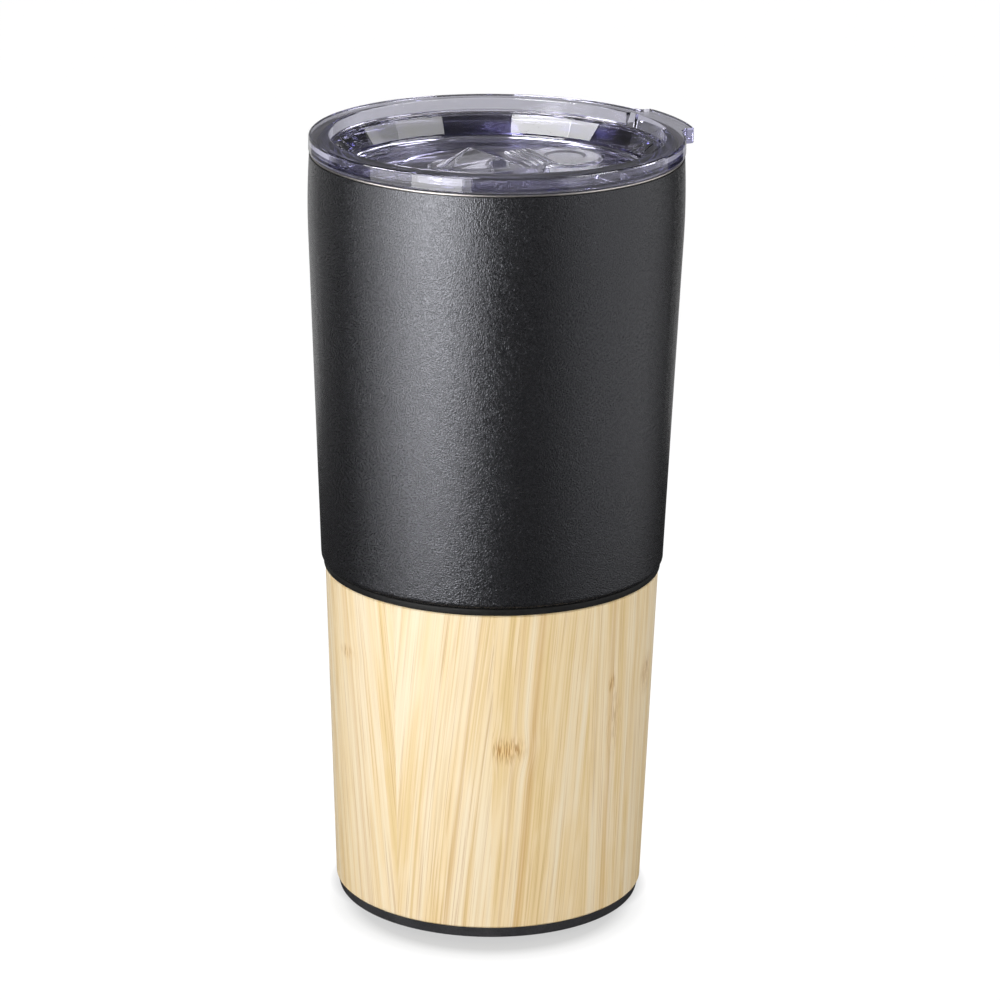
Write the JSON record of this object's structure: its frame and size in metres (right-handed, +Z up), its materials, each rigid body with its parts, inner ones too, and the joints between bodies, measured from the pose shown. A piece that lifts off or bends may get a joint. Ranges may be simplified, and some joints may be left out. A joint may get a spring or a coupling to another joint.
{
  "type": "insulated tumbler",
  "caption": "Double-walled steel travel tumbler with a bamboo sleeve round its lower half, a black base, and a clear push-in lid with a tab and a sliding closure.",
  "frame": {"origin": "centre of the foot, on the surface that the cup stands on", "axes": "+Z up the cup's axis, +X towards the drinking side of the lid, where the tab is"},
  "size_m": [0.0911, 0.088, 0.1867],
  "materials": {
    "black_coat": "fine-grained black powder coat on stainless steel",
    "bare_steel": "brushed stainless steel",
    "seal_glass": "solder glass bead",
    "getter_metal": "matt sintered pellet",
    "black_rubber": "matt black silicone",
    "bamboo": "turned laminated bamboo, clear matt lacquer",
    "black_plastic": "moulded black plastic, fine grain",
    "clear_plastic": "clear copolyester with a faint violet cast, polished",
    "clear_silicone": "clear silicone",
    "milky_silicone": "translucent white silicone"
  },
  "bodies": {
    "cup": {"outer_shell": "black_coat", "inner_liner": "bare_steel", "outer_bottom": "bare_steel", "vacuum_seal": "seal_glass", "getter": "getter_metal", "shoulder_ring": "black_rubber", "bamboo_sleeve": "bamboo", "base_cap": "black_plastic", "foot_pad": "black_rubber"},
    "lid": {"lid_body": "clear_plastic", "lid_gasket": "clear_silicone"},
    "closure": {"slider": "clear_plastic", "slider_seal": "milky_silicone", "slider_clip": "clear_plastic"}
  },
  "joints": [
    {"name": "lid_lift", "type": "slide", "parent": "cup", "child": "lid", "axis": [0, 0, 1], "range_m": [0, 0.06]},
    {"name": "closure_slide", "type": "slide", "parent": "lid", "child": "closure", "axis": [-1, 0, 0], "range_m": [0, 0.0125]}
  ]
}
